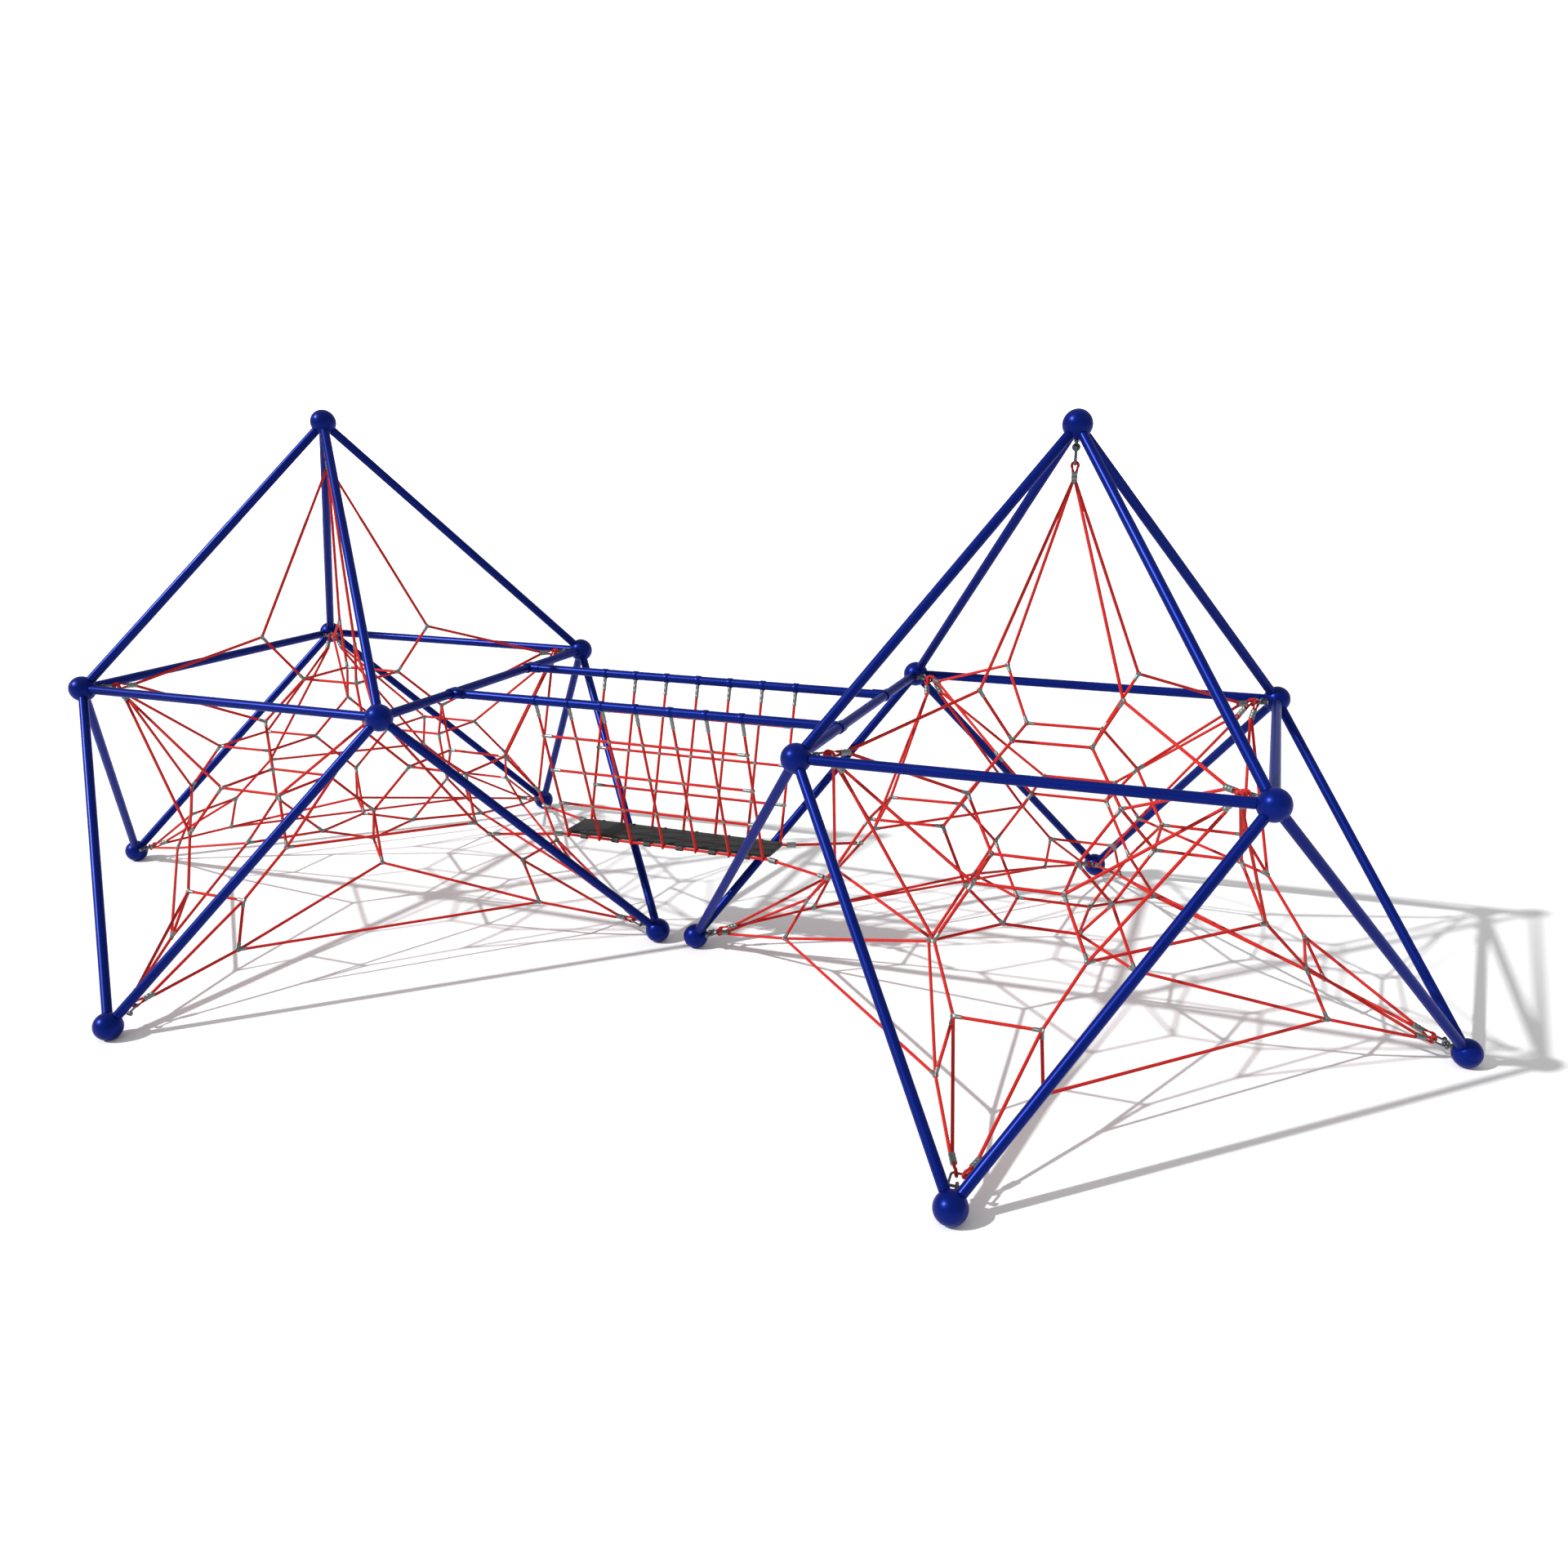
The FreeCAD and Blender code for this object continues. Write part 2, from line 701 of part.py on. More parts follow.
def make_deck_board():
    body = doc.addObject("PartDesign::Body", "deck_body")
    sketch = body.newObject("Sketcher::SketchObject", "deck_outline")
    plane = next(item for item in body.Origin.OriginFeatures if item.Role == "XY_Plane")
    sketch.AttachmentSupport = (plane, [""])
    sketch.MapMode = "FlatFace"
    draw_deck(sketch)
    pad = body.newObject("PartDesign::Pad", "deck_pad")
    pad.Profile = sketch
    pad.setExpression("Length", "dims.deck_thickness")
    body.Placement = Placement(Vector(0, 0, EDGE_HEIGHT + dim("deck_lift")), Rotation())
    keep(body, "deck_board")


def clip_master():
    """Clip round the edge rope along local X, with a plate that reaches under the board along local Y."""
    sideways = Rotation(Vector(0, 1, 0), 90)
    half = dim("clip_length") / 2
    across = Placement(Vector(-half, 0, 0), sideways)
    barrel = cylinder("clip_barrel", "dims.clip_radius", "dims.clip_length", across)
    plate = doc.addObject("Part::Box", "clip_plate")
    bind(plate, {"Length": "dims.clip_length", "Width": "dims.clip_reach", "Height": "dims.clip_plate"})
    plate.Placement = Placement(Vector(-half, 0, dim("deck_lift") - dim("clip_plate")), Rotation())
    body = fused("clip_body", [barrel, plate])
    bore = cylinder("clip_bore", "dims.rope_radius", "dims.clip_length", across)
    return cut("clip", body, bore)


def screw_master():
    """Screw from above the board down into the clip's plate."""
    depth = dim("deck_thickness") + dim("screw_bite")
    shank = cylinder("screw_shank", "dims.screw_radius", depth, Placement(Vector(0, 0, -depth), Rotation()))
    head = cylinder("screw_head", "dims.screw_head", "dims.screw_head_height")
    return fused("screw", [shank, head])


def socket_master():
    """Closed-end socket along local Z for an end rope."""
    outer = cylinder("socket_outer", "dims.socket_radius", "dims.socket_length")
    bore = cylinder("socket_hole", "dims.socket_bore", "dims.socket_length")
    bore.setExpression("Placement.Base.z", "dims.socket_floor")
    return cut("socket", outer, bore)


def end_rope_ends(side, sy):
    """From the deck's corner to its knot in the dome net, for the dome on that side."""
    dome = "west" if side < 0 else "east"
    knot = dome_origin(dome) + end_knot(net_knots(), -side, sy)
    return edge_point(side * dim("edge_half_length"), sy), knot


def make_deck():
    make_deck_board()
    half = dim("edge_half_length")
    rope_group("deck_edge_ropes", [(edge_point(-half, sy), edge_point(half, sy)) for sy in (-1, 1)])
    clips = []
    screws = []
    for sy in (-1, 1):
        for left, right in zip(UPRIGHTS, UPRIGHTS[1:]):
            point = edge_point((left + right) / 2, sy)
            clips.append(Placement(point, Rotation(UP, 0 if sy < 0 else 180)))
            top = point + Vector(0, -sy * dim("screw_inset"), dim("deck_lift") + dim("deck_thickness"))
            screws.append(Placement(top, Rotation()))
    copies("deck_clips", clip_master(), clips)
    copies("deck_screws", screw_master(), screws)
    corners = [(side, sy) for side in (-1, 1) for sy in (-1, 1)]
    places = []
    for side, sy in corners:
        corner, knot = end_rope_ends(side, sy)
        pull = unit(knot - corner)
        places.append(facing(corner, pull))
        name = ("front" if sy < 0 else "back") + ("_west" if side < 0 else "_east")
        start = corner + pull * (dim("socket_length") - dim("end_rope_grip"))
        end = knot - pull * dim("end_rope_gap")
        length = (end - start).Length
        rope = cylinder(name + "_rope_run", "dims.rope_radius", length, facing(start, pull))
        keep(rope, name + "_end_rope")
    copies("end_rope_sockets", socket_master(), places)


def check_document():
    doc.recompute()
    for item in doc.Objects:
        if "Invalid" in item.State or "Error" in item.State:
            raise RuntimeError("%s failed: %s" % (item.Name, item.State))
    for part in parts:
        if part.Shape.isNull() or not part.Shape.isValid():
            raise RuntimeError("%s has no valid shape" % part.Label)


def export_parts():
    os.makedirs("parts", exist_ok=True)
    for part in parts:
        part.Shape.exportStep("parts/%s.step" % part.Label)
        print("%-34s solids %3d volume %12.0f" % (part.Label, len(part.Shape.Solids), part.Shape.Volume))


for dome_name in DOMES:
    make_hubs(dome_name)
make_tubes()
make_fittings()
make_nets()
make_rails()
make_side_nets()
make_deck()
check_document()
export_parts()
print(len(parts), "nodes")
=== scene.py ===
import json
import math
import bpy
import numpy as np
from mathutils import Matrix, Vector


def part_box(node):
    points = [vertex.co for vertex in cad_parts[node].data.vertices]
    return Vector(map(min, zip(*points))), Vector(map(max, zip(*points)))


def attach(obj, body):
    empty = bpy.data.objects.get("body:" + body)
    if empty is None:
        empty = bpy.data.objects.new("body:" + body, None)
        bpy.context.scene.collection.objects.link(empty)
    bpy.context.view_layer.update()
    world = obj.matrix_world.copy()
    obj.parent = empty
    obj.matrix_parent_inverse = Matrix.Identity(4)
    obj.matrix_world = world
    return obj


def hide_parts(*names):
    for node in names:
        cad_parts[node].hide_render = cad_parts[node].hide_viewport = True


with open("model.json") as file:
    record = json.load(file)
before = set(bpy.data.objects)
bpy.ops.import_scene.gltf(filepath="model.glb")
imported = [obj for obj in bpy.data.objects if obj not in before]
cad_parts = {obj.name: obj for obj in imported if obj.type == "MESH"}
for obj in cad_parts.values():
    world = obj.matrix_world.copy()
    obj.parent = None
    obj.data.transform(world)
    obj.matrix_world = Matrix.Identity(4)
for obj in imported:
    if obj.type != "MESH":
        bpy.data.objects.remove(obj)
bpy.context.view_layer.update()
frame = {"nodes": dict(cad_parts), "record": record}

# The frame's own sizes, in metres from the floor, midway between the domes.
layout = {
    "tubeRun": 2.0,
    "domeGap": 0.244,
    "footHeight": 0.066,
    "railHalfSpread": 0.385,
    "edgeHalfSpread": 0.128,
    "edgeHeight": 0.641,
    "edgeHalfLength": 0.64,
    "uprightPitch": 0.2,
    "hangerReach": 0.1,
}
half = layout["tubeRun"] / 2
ringUp = half * math.sqrt(2)
foot = layout["footHeight"]
domeX = 2 * half + layout["domeGap"] / 2
domes = {"west": -domeX, "east": domeX}
corners = ((-1, -1), (1, -1), (1, 1), (-1, 1))
sides = ((0, -1), (1, 0), (0, 1), (-1, 0))
uprights = [layout["uprightPitch"] * step for step in range(-3, 4)]


def deselectAll():
    for item in bpy.context.selected_objects:
        item.select_set(False)


deselectAll()


class Sock:  # a shader socket that turns Python sums into Math nodes
    def __init__(self, owner, socket):
        self.owner = owner
        self.socket = socket

    def twin(self, label):  # another output of the same node
        return Sock(self.owner, self.socket.node.outputs[label])

    def maths(self, operation, other=None, swapped=False):
        values = (self,) if other is None else (other, self) if swapped else (self, other)
        return self.owner.node("ShaderNodeMath", {"operation": operation}, dict(enumerate(values)))

    def __add__(self, other):
        return self.maths("ADD", other)

    def __radd__(self, other):
        return self.maths("ADD", other, True)

    def __sub__(self, other):
        return self.maths("SUBTRACT", other)

    def __rsub__(self, other):
        return self.maths("SUBTRACT", other, True)

    def __mul__(self, other):
        return self.maths("MULTIPLY", other)

    def __rmul__(self, other):
        return self.maths("MULTIPLY", other, True)


class Finish:  # one procedural material
    def __init__(self, name, fixed):
        self.mat = bpy.data.materials.new(name)
        self.mat.use_nodes = True
        self.tree = self.mat.node_tree
        self.shader = self.tree.nodes["Principled BSDF"]
        for label, value in fixed.items():
            self.shader.inputs[label].default_value = value

    def node(self, kind, settings, inputs, output=0):
        new = self.tree.nodes.new(kind)
        for label, value in settings.items():
            if label == "stops":
                for element, (place, colour) in zip(new.color_ramp.elements, value):
                    element.position, element.color = place, colour
            else:
                setattr(new, label, value)
        for label, value in inputs.items():
            if isinstance(value, Sock):
                self.tree.links.new(value.socket, new.inputs[label])
            else:
                new.inputs[label].default_value = value
        return Sock(self, new.outputs[output])

    def coords(self, kind="Object"):
        return self.node("ShaderNodeTexCoord", {}, {}, kind)

    def noise(self, where, scale, detail, roughness=0.5):
        return self.node("ShaderNodeTexNoise", {}, {"Vector": where, "Scale": scale, "Detail": detail,
                                                    "Roughness": roughness})

    def ramp(self, value, stops):  # two stops, each a place and a grey tone
        shown = [(place, (tone, tone, tone, 1)) for place, tone in stops]
        return self.node("ShaderNodeValToRGB", {"stops": shown}, {"Fac": value})

    def mix(self, factor, first, second):
        return self.node("ShaderNodeMix", {"data_type": "RGBA"}, {0: factor, 6: first, 7: second}, 2)

    def bump(self, height, strength, distance):
        return self.node("ShaderNodeBump", {}, {"Height": height, "Strength": strength,
                                                "Distance": distance})

    def feed(self, **links):
        names = {"colour": "Base Color", "roughness": "Roughness", "coat": "Coat Weight", "normal": "Normal"}
        for label, value in links.items():
            self.tree.links.new(value.socket, self.shader.inputs[names[label]])
        return self.mat


def paintFinish(name, deep, bright):
    # powder-coated steel: slow tone drift, orange peel, faint rubbed marks
    paint = {"driftScale": 2.2, "peelScale": 260, "rubScale": 9, "scratchScale": 55,
             "baseRoughness": 0.31, "metallic": 0.4, "gloss": 0.22, "glossTint": (0.3, 0.42, 1, 1),
             "wornGain": 1.6, "wornLift": 0.03}
    mat = Finish(name, {"Metallic": paint["metallic"], "Specular IOR Level": paint["gloss"],
                        "Specular Tint": paint["glossTint"], "Coat Roughness": 0.2})
    where = mat.coords()
    drift = mat.noise(where, paint["driftScale"], 2)
    peel = mat.noise(where, paint["peelScale"], 2)
    rubs = mat.ramp(mat.noise(where, paint["rubScale"], 8, 0.72), ((0.56, 0), (0.72, 1)))
    scratch = mat.ramp(mat.noise(where, paint["scratchScale"], 10, 0.8), ((0.6, 0), (0.68, 1)))
    marks = rubs * scratch
    tone = mat.mix(drift, deep, bright)
    worn = tuple(min(1, channel * paint["wornGain"] + paint["wornLift"]) for channel in bright[:3]) + (1,)
    colour = mat.mix(marks * 0.5, tone, worn)
    rough = paint["baseRoughness"] + drift * 0.06 + marks * 0.25
    return mat.feed(colour=colour, roughness=rough, coat=0.03 - marks * 0.03,
                    normal=mat.bump(peel, 0.06, 0.0008))


# ropes: strands twisted round each other, one ring of vertices every few millimetres
ropeBuild = {"radius": 0.008, "lay": 0.1, "strands": 6, "ringStep": 0.0085, "groove": 0.2}


def ropeFinish():
    # polyester strands over steel: yarn lines lean across each strand, painted lit and shaded; grooves get
    # painted shade; slow fading
    rope = {"yarnPitch": 0.0042, "yarnLean": 9, "fuzzScale": 620, "fadeScale": 3.1,
            "shaded": (0.38, 0.006, 0.006, 1), "lit": (0.74, 0.018, 0.014, 1),
            "faded": (0.70, 0.05, 0.035, 1), "groove": (0.16, 0.006, 0.005, 1)}
    mat = Finish("redRope", {"Specular IOR Level": 0.15, "Sheen Weight": 0.06, "Sheen Roughness": 0.5})
    along = mat.node("ShaderNodeSeparateXYZ", {}, {"Vector": mat.coords("UV")}, "X")
    around = along.twin("Y")
    where = mat.coords()
    lane = (around * ropeBuild["strands"]).maths("FRACT")
    groove = (lane - 0.5).maths("ABSOLUTE") * 2
    yarn = along * (2 * math.pi / rope["yarnPitch"]) + around * (2 * math.pi * rope["yarnLean"])
    yarns = yarn.maths("SINE") * 0.5 + 0.5
    fuzz = mat.noise(where, rope["fuzzScale"], 4, 0.7)
    fade = mat.ramp(mat.noise(where, rope["fadeScale"], 4), ((0.3, 0), (0.7, 1)))
    # painted light and shade: yarn ridges mix a lit red and a shaded red, fuzz noise varies the mix at random
    freshLitShaded = mat.mix(yarns * 0.55 + fuzz * 0.35, rope["shaded"], rope["lit"])
    faded = mat.mix(fade * 0.35, freshLitShaded, rope["faded"])
    # painted shade: the grooves between strands are darkened towards the groove red
    deep = mat.ramp(groove, ((0.62, 0), (1.0, 1)))
    colour = mat.mix(deep * 0.55, faded, rope["groove"])
    height = yarns * 0.6 + fuzz * 0.4 - deep * 0.8
    return mat.feed(colour=colour, roughness=0.62 + fuzz * 0.25, normal=mat.bump(height, 0.55, 0.0009))


def castFinish(name, tone, grainScale, roughness, metallic=1.0):
    # cast, plated or coated metal: blotches, fine grain and noise patches of painted crevice shade, which are
    # also rougher
    cast = {"blotchScale": 38, "creviceShadeScale": 95, "lighter": 1.18, "darker": 0.72, "creviceShadeFactor": 0.35}
    mat = Finish(name, {"Metallic": metallic, "Specular IOR Level": 0.5})
    where = mat.coords()
    blotch = mat.noise(where, cast["blotchScale"], 5, 0.6)
    grain = mat.noise(where, grainScale, 3, 0.6)
    # painted shade: patches laid by noise are darkened as if in crevices, and made rougher
    creviceShade = mat.ramp(mat.noise(where, cast["creviceShadeScale"], 7, 0.7), ((0.5, 0), (0.72, 1)))
    light = tuple(min(1, channel * cast["lighter"]) for channel in tone) + (1,)
    dark = tuple(channel * cast["darker"] for channel in tone) + (1,)
    creviceShadeTone = tuple(channel * cast["creviceShadeFactor"] for channel in tone) + (1,)
    colour = mat.mix(creviceShade * 0.5, mat.mix(blotch, dark, light), creviceShadeTone)
    rough = roughness + blotch * 0.16 + creviceShade * 0.15
    return mat.feed(colour=colour, roughness=rough, normal=mat.bump(grain * 0.7 + blotch * 0.3, 0.18, 0.0006))


def rubberFinish():
    # rubber board with a fine cloth print and dusty scuffs
    rubber = {"clothScale": 90, "dustScale": 5.5, "speckScale": 420, "dark": (0.010, 0.011, 0.011, 1),
              "light": (0.022, 0.024, 0.024, 1), "dusty": (0.075, 0.078, 0.075, 1)}
    mat = Finish("deckRubber", {"Specular IOR Level": 0.3})
    where = mat.coords()
    warp, weft = [mat.node("ShaderNodeTexWave", {"wave_type": "BANDS", "bands_direction": axis},
                           {"Vector": where, "Scale": rubber["clothScale"], "Distortion": 0.6, "Detail": 1},
                           "Fac") for axis in ("X", "Y")]
    cloth = warp * weft
    dust = mat.ramp(mat.noise(where, rubber["dustScale"], 8, 0.68), ((0.46, 0), (0.74, 1)))
    speck = mat.noise(where, rubber["speckScale"], 4, 0.7)
    base = mat.mix(speck, rubber["dark"], rubber["light"])
    colour = mat.mix(dust * 0.32, base, rubber["dusty"])
    return mat.feed(colour=colour, roughness=0.5 + dust * 0.25 + speck * 0.1,
                    normal=mat.bump(cloth * 0.6 + speck * 0.4, 0.3, 0.0006))


finishes = {
    "blue_tube": paintFinish("tubePaint", (0.001, 0.006, 0.112, 1), (0.0025, 0.013, 0.172, 1)),
    "blue_ball": paintFinish("ballPaint", (0.001, 0.006, 0.110, 1), (0.0025, 0.013, 0.17, 1)),
    "red_rope": ropeFinish(),
    "clamp_aluminium": castFinish("castAluminium", (0.23, 0.245, 0.235), 900, 0.4),
    "steel": castFinish("zincSteel", (0.46, 0.47, 0.49), 700, 0.28),
    "dark_steel": castFinish("forgedSteel", (0.14, 0.15, 0.165), 800, 0.36),
    "deck_rubber": rubberFinish(),
}
blackened = ("deck_clips", "deck_screws")    # small metal under the board, coated black
blackCoat = castFinish("blackCoat", (0.018, 0.019, 0.02), 800, 0.5, 0.0)
for row in frame["record"]["subparts"]:
    mesh = frame["nodes"][row["node"]].data
    mesh.materials.clear()
    mesh.materials.append(blackCoat if row["node"] in blackened else finishes[row["material_slot"]])
print("materials ready")


def ropeSection(radius):  # angles and radii round a rope: a groove point and two crown points per strand
    count = 3 * ropeBuild["strands"]
    angles = np.arange(count) * 2 * math.pi / count
    radii = np.where(np.arange(count) % 3 == 0, radius * (1 - ropeBuild["groove"]), radius)
    return angles, radii


def sampled(path):  # points along straight runs at the ring step; a path with many points keeps them
    path = [np.array(point, float) for point in path]
    if len(path) > 2:
        return np.array(path)
    length = np.linalg.norm(path[1] - path[0])
    steps = max(2, math.ceil(length / ropeBuild["ringStep"]) + 1)
    share = np.linspace(0, 1, steps)[:, None]
    return path[0] * (1 - share) + path[1] * share


def sweep(path, radius):  # rings of points of one twisted rope along a path, and the length at each ring
    points = sampled(path)
    tangents = np.gradient(points, axis=0)
    tangents /= np.linalg.norm(tangents, axis=1)[:, None]
    lengths = np.concatenate([[0], np.cumsum(np.linalg.norm(np.diff(points, axis=0), axis=1))])
    helper = np.array([0, 0, 1.0]) if abs(tangents[0][2]) < 0.9 else np.array([1.0, 0, 0])
    normal = np.cross(tangents[0], helper)
    angles, radii = ropeSection(radius)
    lay = ropeBuild["lay"] * radius / ropeBuild["radius"]
    rings = []
    for point, tangent, length in zip(points, tangents, lengths):
        normal = normal - tangent * normal.dot(tangent)
        normal /= np.linalg.norm(normal)
        side = np.cross(tangent, normal)
        turn = angles + 2 * math.pi * length / lay
        rings.append(point + (np.cos(turn) * radii)[:, None] * normal
                     + (np.sin(turn) * radii)[:, None] * side)
    return np.array(rings), lengths


def ropeObject(name, paths, radius=ropeBuild["radius"]):  # one mesh of closed ropes, UVs along the strands
    verts, faces, uvs = [], [], []
    start = 0
    for path in paths:
        rings, lengths = sweep(path, radius)
        count = rings.shape[1]
        verts.append(rings.reshape(-1, 3))
        for i in range(len(rings) - 1):
            low = start + i * count
            for j in range(count):
                k = (j + 1) % count
                faces.append((low + j, low + k, low + count + k, low + count + j))
                uvs += [(lengths[i], j / count), (lengths[i], (j + 1) / count),
                        (lengths[i + 1], (j + 1) / count), (lengths[i + 1], j / count)]
        last = start + (len(rings) - 1) * count
        faces.append(tuple(start + j for j in reversed(range(count))))
        faces.append(tuple(last + j for j in range(count)))
        uvs += [(0, j / count) for j in reversed(range(count))]
        uvs += [(lengths[-1], j / count) for j in range(count)]
        start += len(rings) * count
    mesh = bpy.data.meshes.new(name)
    mesh.from_pydata(np.concatenate(verts).tolist(), [], faces)
    layer = mesh.uv_layers.new(name="UVMap")
    layer.data.foreach_set("uv", np.array(uvs, np.float32).ravel())
    mesh.polygons.foreach_set("use_smooth", [True] * len(faces))
    mesh.update()
    rope = bpy.data.objects.new(name, mesh)
    bpy.context.scene.collection.objects.link(rope)
    return rope


def activate(item):
    deselectAll()
    item.select_set(True)
    bpy.context.view_layer.objects.active = item
    return item


def applyModifiers(item):
    activate(item)
    for modifier in list(item.modifiers):
        bpy.ops.object.modifier_apply(modifier=modifier.name)
    return item


def bevelled(item, width, segments=1, angle=40):
    modifier = item.modifiers.new("edges", "BEVEL")
    modifier.width = width
    modifier.segments = segments
    modifier.limit_method = "ANGLE"
    modifier.angle_limit = math.radians(angle)
    return applyModifiers(item)


def alignTo(point, direction, across=None):  # matrix at point: Z along direction, X near across
    axis = Vector(direction).normalized()
    if across is None:
        across = Vector((1, 0, 0)) if abs(axis.x) < 0.9 else Vector((0, 1, 0))
    across = Vector(across)
    side = (across - axis * across.dot(axis)).normalized()
    other = axis.cross(side)
    return Matrix.Translation(Vector(point)) @ Matrix((side, other, axis)).transposed().to_4x4()


def copied(name, master, places):  # copies of the master at the places, joined; the master is removed
    copies = []
    for place in places:
        copy = master.copy()
        copy.data = master.data.copy()
        copy.data.transform(place)
        bpy.context.scene.collection.objects.link(copy)
        copies.append(copy)
    bpy.data.objects.remove(master)
    activate(copies[0])
    for copy in copies:
        copy.select_set(True)
    bpy.ops.object.join()
    copies[0].name = name
    return copies[0]


def selectPoints(item, wanted):  # leaves edit mode's vertices selected where wanted(place) is true
    bpy.ops.object.mode_set(mode="EDIT")
    bpy.ops.mesh.select_mode(type="VERT")
    bpy.ops.mesh.select_all(action="DESELECT")
    bpy.ops.object.mode_set(mode="OBJECT")
    for vertex in item.data.vertices:
        vertex.select = wanted(vertex.co)
    bpy.ops.object.mode_set(mode="EDIT")


def cutAcross(heights):  # cuts the whole shape level at each height, in edit mode
    for height in heights:
        bpy.ops.mesh.select_all(action="SELECT")
        bpy.ops.mesh.bisect(plane_co=(0, 0, height), plane_no=(0, 0, 1))


def smooth(item, degrees=35):
    activate(item)
    bpy.ops.object.shade_smooth_by_angle(angle=math.radians(degrees))
    return item


def settle(piece, body, slotName, *replaced):
    piece.data.materials.clear()
    piece.data.materials.append(finishes[slotName])
    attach(piece, body)
    if replaced:
        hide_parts(*replaced)
    return piece


# knots of one dome's net, from the dome's axis and the height of the ground balls' centres
diagonalKnots = {
    "crown": (0.330, 1.635),
    "collar": (0.190, 1.370),
    "shoulder": (0.360, 1.135),
    "belly": (0.355, 0.660),
    "floor": (0.190, 0.415),
    "skirt": (0.495, 0.400),
}
faceKnots = {
    "waist": (0.515, 0.200, 0.900),
    "gallery": (0.905, 0.200, 0.895),
    "flank": (1.040, 0.335, 0.655),
    "ankle": (1.240, 0.190, 0.405),
    "toe": (1.360, 0.230, 0.175),
}
# where the ropes leave their ferrules, in the same measures, and how far back they run into them
tiePlaces = {
    "apex": (0, 0, 2.564),
    "corner": (0.806, 0.806, 1.414),
    "side": (0.881, 0.814, 1.335),
    "ground": (1.760, 0.059, 0.080),
}
tieBite = 0.006

# "*" is drawn once towards each of the two faces beside a corner
quarterRopes = {
    "upper": ("apexTie crown", "crown cornerTie", "crown collar", "collar shoulder", "shoulder cornerTie"),
    "middle": ("shoulder waist*", "waist* gallery*", "gallery* sideTie*", "gallery* flank*",
               "flank* sideTie*", "flank* ankle*", "flankX flankY"),
    "lower": ("waist* belly", "belly skirt", "belly floor", "floor skirt", "ankle* toe*", "ankle* groundTie*",
              "toe* groundTie*", "toe* skirt", "toeX toeY"),
}
ringRopes = {"upper": ("collar",), "middle": ("waist*", "gallery*"), "lower": ("floor", "ankle*")}


def netKnots():
    knots = {"apexTie": Vector(tiePlaces["apex"])}
    facePlaces = dict(faceKnots, sideTie=tiePlaces["side"], groundTie=tiePlaces["ground"])
    for sx, sy in corners:
        sign = "%+d%+d" % (sx, sy)
        for name, (out, up) in diagonalKnots.items():
            knots[name + sign] = Vector((sx * out, sy * out, up))
        for name, (out, aside, up) in facePlaces.items():
            knots[name + "X" + sign] = Vector((sx * out, sy * aside, up))
            knots[name + "Y" + sign] = Vector((sx * aside, sy * out, up))
        out, aside, up = tiePlaces["corner"]
        knots["cornerTie" + sign] = Vector((sx * out, sy * aside, up))
    return knots


def netRuns(level):
    runs = []
    for sx, sy in corners:
        sign = "%+d%+d" % (sx, sy)
        for rope in quarterRopes[level]:
            for face in ("X", "Y") if "*" in rope else ("",):
                first, second = [end.replace("*", face) for end in rope.split()]
                runs.append(("apexTie" if first == "apexTie" else first + sign, second + sign))
    for name in ringRopes[level]:
        for sign in ("-1", "+1"):
            acrossX, acrossY = name.replace("*", "Y"), name.replace("*", "X")
            runs.append((acrossX + "-1" + sign, acrossX + "+1" + sign))
            runs.append((acrossY + sign + "-1", acrossY + sign + "+1"))
    return runs


knots = netKnots()
levels = {level: netRuns(level) for level in quarterRopes}
pulls = {}
for runs in levels.values():
    for first, second in runs:
        pulls.setdefault(first, []).append((knots[second] - knots[first]).normalized())
        pulls.setdefault(second, []).append((knots[first] - knots[second]).normalized())


def ropeEnd(name, other):  # ropes meet inside a knot's clamp; at a tie they leave the ferrule side by side
    if "Tie" not in name:
        return knots[name]
    direction = (knots[other] - knots[name]).normalized()
    middle = sum(pulls[name], Vector()).normalized()
    aside = (direction - middle * direction.dot(middle)).normalized()
    spread = ropeBuild["radius"] / math.sin(math.pi / len(pulls[name]))
    return knots[name] + aside * spread - middle * tieBite


def domeAt(dome, point):
    return Vector(point) + Vector((domes[dome], 0, foot))


for dome in domes:
    for level, runs in levels.items():
        paths = [(domeAt(dome, ropeEnd(first, second)), domeAt(dome, ropeEnd(second, first)))
                 for first, second in runs]
        rope = ropeObject("%sNet_%s" % (dome, level), paths)
        settle(rope, "frame", "red_rope", "%s_net_%s" % (dome, level))
print("dome nets roped")


# knot clamps: a two-shell puck on the through rope, pressed sleeves on the ropes that end there
clampBuild = {"puckRadius": 0.0132, "puckDepth": 0.0195, "puckEdge": 0.0035, "boltRadius": 0.004,
              "socketRim": 0.0024, "socketDepth": 0.0012, "sleeveRadius": 0.0097, "sleeveLength": 0.03,
              "sleeveStart": 0.009, "sleeveEdge": 0.0022, "endKnotShare": 0.3, "endKnotTilt": 0.4}


def puckMaster():
    deselectAll()
    bpy.ops.mesh.primitive_cylinder_add(vertices=12, radius=clampBuild["puckRadius"],
                                        depth=clampBuild["puckDepth"])
    puck = bpy.context.object
    bpy.ops.object.mode_set(mode="EDIT")
    bpy.ops.mesh.select_mode(type="FACE")
    bpy.ops.mesh.select_all(action="DESELECT")
    bpy.ops.object.mode_set(mode="OBJECT")
    for polygon in puck.data.polygons:
        polygon.select = abs(polygon.normal.z) > 0.9
    bpy.ops.object.mode_set(mode="EDIT")
    bpy.ops.mesh.inset(thickness=clampBuild["puckRadius"] - 2 * clampBuild["boltRadius"], use_individual=True)
    bpy.ops.mesh.inset(thickness=clampBuild["socketRim"], depth=-clampBuild["socketDepth"],
                       use_individual=True)
    bpy.ops.object.mode_set(mode="OBJECT")
    return bevelled(puck, clampBuild["puckEdge"], 1, 60)


